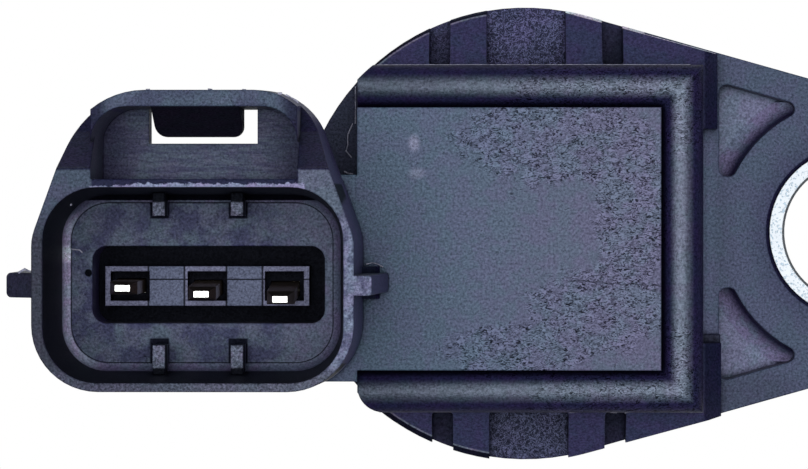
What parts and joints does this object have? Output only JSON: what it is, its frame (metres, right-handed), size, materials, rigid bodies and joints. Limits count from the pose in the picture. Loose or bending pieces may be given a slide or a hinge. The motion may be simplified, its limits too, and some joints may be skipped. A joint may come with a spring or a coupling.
{
  "type": "camshaft position sensor",
  "caption": "Plug-in camshaft position sensor: round probe with seal ring, bolt-down flange with steel bush, flat head and an upright three-way connector.",
  "frame": {"origin": "on the probe's axis, at the level of the flange's seat face", "axes": "+Z away from the engine, out of the bolt hole and the connector's mouth; +X from the probe to the bolt hole; +Y completes the right-handed frame, towards the connector's latch"},
  "size_m": [0.0487, 0.023, 0.0455],
  "materials": {
    "housing_plastic": "moulded, dark blue-black with a fine mottle",
    "bush_steel": "bright, face turned",
    "seal_rubber": "satin",
    "carrier_plastic": "moulded, satin",
    "terminal_metal": "tinned",
    "board_laminate": "glass-filled laminate",
    "chip_mould": "moulded",
    "leg_metal": "tinned",
    "magnet_metal": "plated",
    "capacitor_body": "ceramic",
    "resistor_body": "ceramic",
    "solder_metal": "solder"
  },
  "bodies": {
    "root": {"housing": "housing_plastic", "compression_bush": "bush_steel", "o_ring": "seal_rubber", "terminal_carrier": "carrier_plastic", "terminal_1": "terminal_metal", "terminal_2": "terminal_metal", "terminal_3": "terminal_metal", "circuit_board": "board_laminate", "hall_ic": "chip_mould", "hall_lead_1": "leg_metal", "hall_lead_2": "leg_metal", "hall_lead_3": "leg_metal", "magnet": "magnet_metal", "capacitor_1": "capacitor_body", "capacitor_2": "capacitor_body", "capacitor_3": "capacitor_body", "resistor_1": "resistor_body", "resistor_2": "resistor_body", "solder_joints": "solder_metal"}
  },
  "joints": []
}
